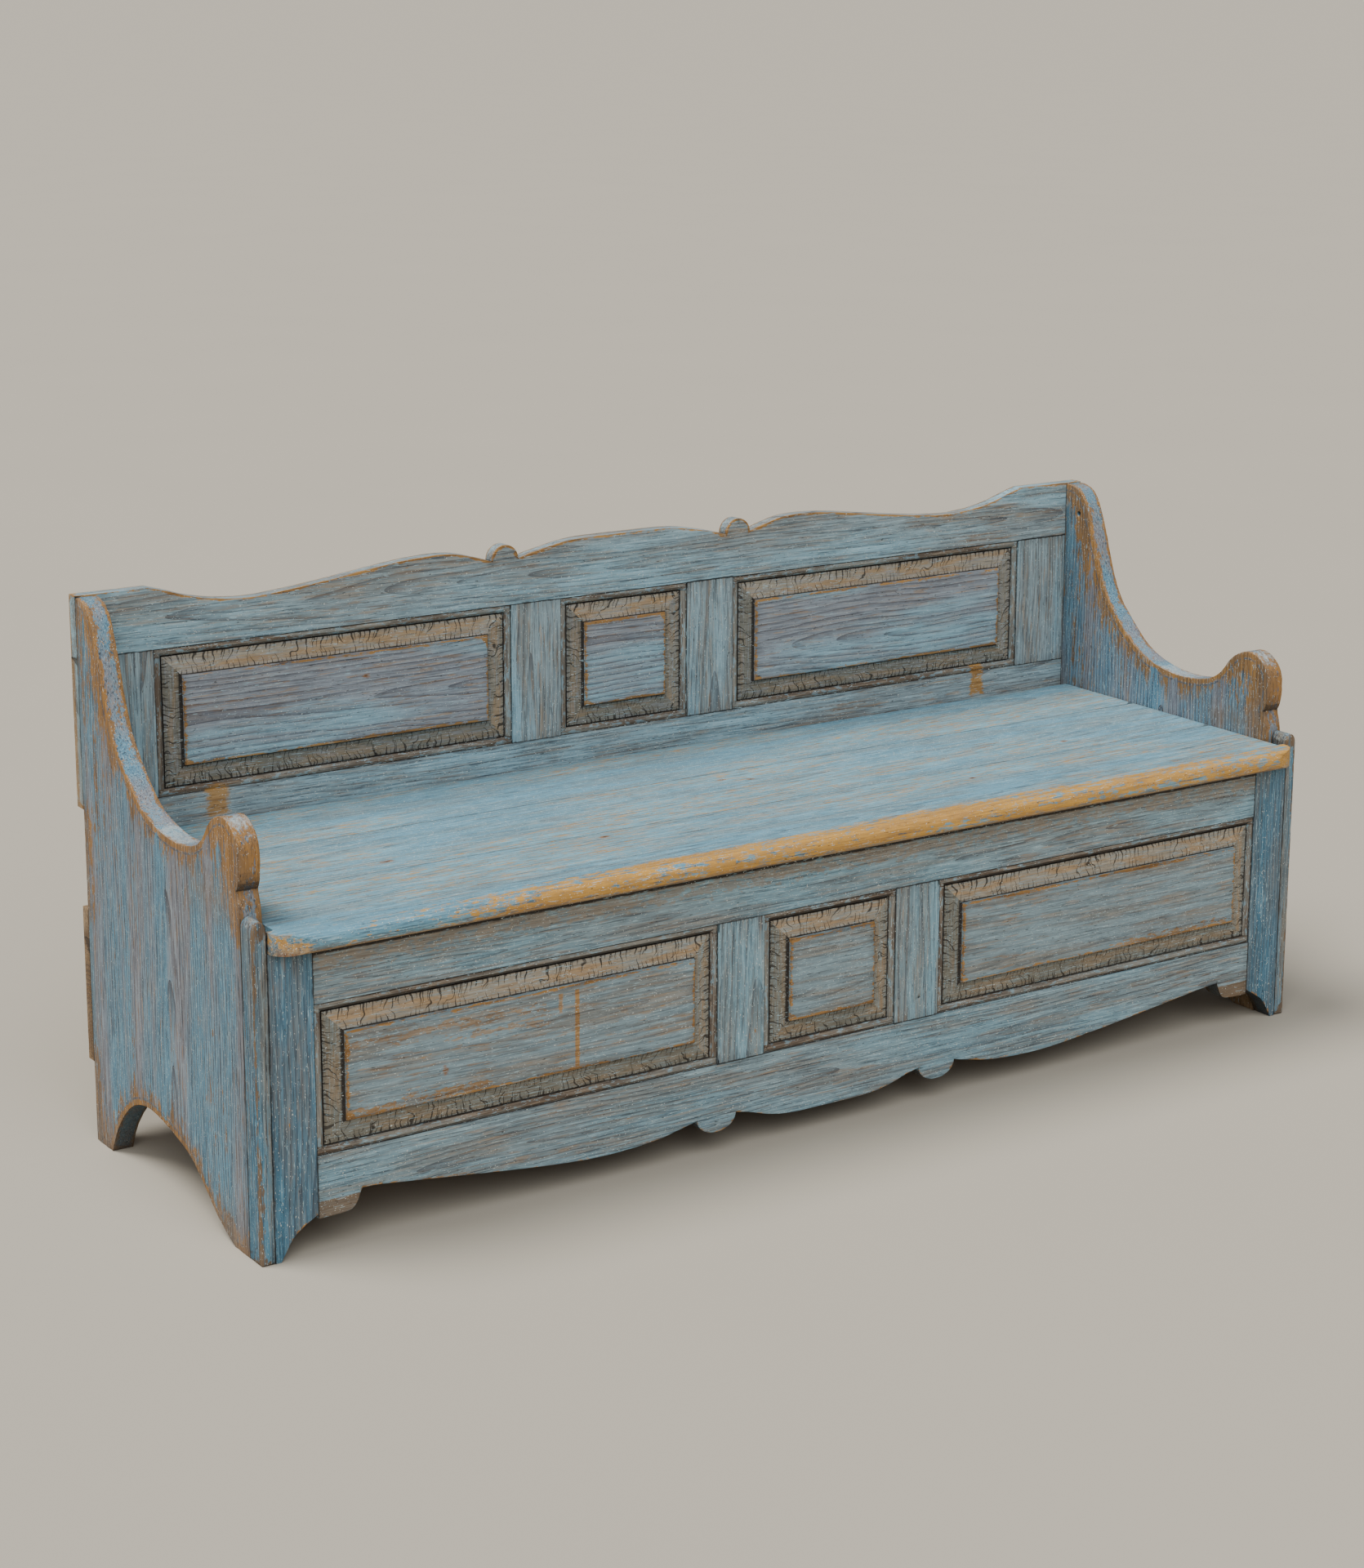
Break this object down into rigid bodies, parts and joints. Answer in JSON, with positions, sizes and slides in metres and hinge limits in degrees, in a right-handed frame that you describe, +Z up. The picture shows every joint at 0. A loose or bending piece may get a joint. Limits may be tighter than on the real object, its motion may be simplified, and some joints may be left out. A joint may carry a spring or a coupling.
{
  "type": "panelled settle pew",
  "caption": "Painted pine pew with swooped end boards, raised panels, a scrolled crest and a lift-up seat over a storage box.",
  "frame": {"origin": "centre of the overall box at floor level", "axes": "+X along the pew to the sitter's left, seen from the front to the right; +Y from the front towards the back; +Z up"},
  "size_m": [1.85, 0.6033, 0.813],
  "materials": {
    "frame_paint": "worn blue milk paint over pine, rubbed through to ochre wood on the edges",
    "glazed_panel_paint": "grey-blue paint with brown glaze over pine, dark lines in the moulding",
    "seat_paint": "light blue paint over pine, worn to ochre wood along the nosing",
    "bare_pine": "unpainted aged pine",
    "forged_iron": "dark forged iron, rusted"
  },
  "bodies": {
    "frame": {"end_board_left": "frame_paint", "end_board_right": "frame_paint", "corner_strip_left": "frame_paint", "corner_strip_right": "frame_paint", "front_stile_left": "frame_paint", "front_stile_right": "frame_paint", "front_top_rail": "frame_paint", "front_apron": "frame_paint", "front_muntin_left": "frame_paint", "front_muntin_right": "frame_paint", "front_panel_left": "glazed_panel_paint", "front_panel_centre": "glazed_panel_paint", "front_panel_right": "glazed_panel_paint", "back_crest_rail": "frame_paint", "back_seat_rail": "frame_paint", "back_stile_left": "frame_paint", "back_stile_right": "frame_paint", "back_muntin_left": "frame_paint", "back_muntin_right": "frame_paint", "back_panel_left": "glazed_panel_paint", "back_panel_centre": "glazed_panel_paint", "back_panel_right": "glazed_panel_paint", "lower_back_board_top": "frame_paint", "lower_back_board_middle": "frame_paint", "lower_back_board_bottom": "frame_paint", "box_floor_board_front": "bare_pine", "box_floor_board_middle": "bare_pine", "box_floor_board_rear": "bare_pine", "floor_cleat_left": "bare_pine", "floor_cleat_right": "bare_pine", "floor_cleat_front": "bare_pine", "floor_cleat_back": "bare_pine", "back_nail_left_1": "forged_iron", "back_nail_left_2": "forged_iron", "back_nail_left_3": "forged_iron", "back_nail_left_4": "forged_iron", "back_nail_left_5": "forged_iron", "back_nail_left_6": "forged_iron", "back_nail_right_1": "forged_iron", "back_nail_right_2": "forged_iron", "back_nail_right_3": "forged_iron", "back_nail_right_4": "forged_iron", "back_nail_right_5": "forged_iron", "back_nail_right_6": "forged_iron"},
    "seat_lid": {"lid_board_front": "seat_paint", "lid_board_middle": "seat_paint", "lid_board_rear": "seat_paint", "lid_batten_left": "bare_pine", "lid_batten_centre": "bare_pine", "lid_batten_right": "bare_pine", "hinge_pin_left": "bare_pine", "hinge_pin_right": "bare_pine"}
  },
  "joints": [
    {"name": "seat_lid_hinge", "type": "hinge", "parent": "frame", "child": "seat_lid", "pos_m": [0, 0.26015, 0.4435], "axis": [-1, 0, 0], "range_deg": [0, 90]}
  ]
}
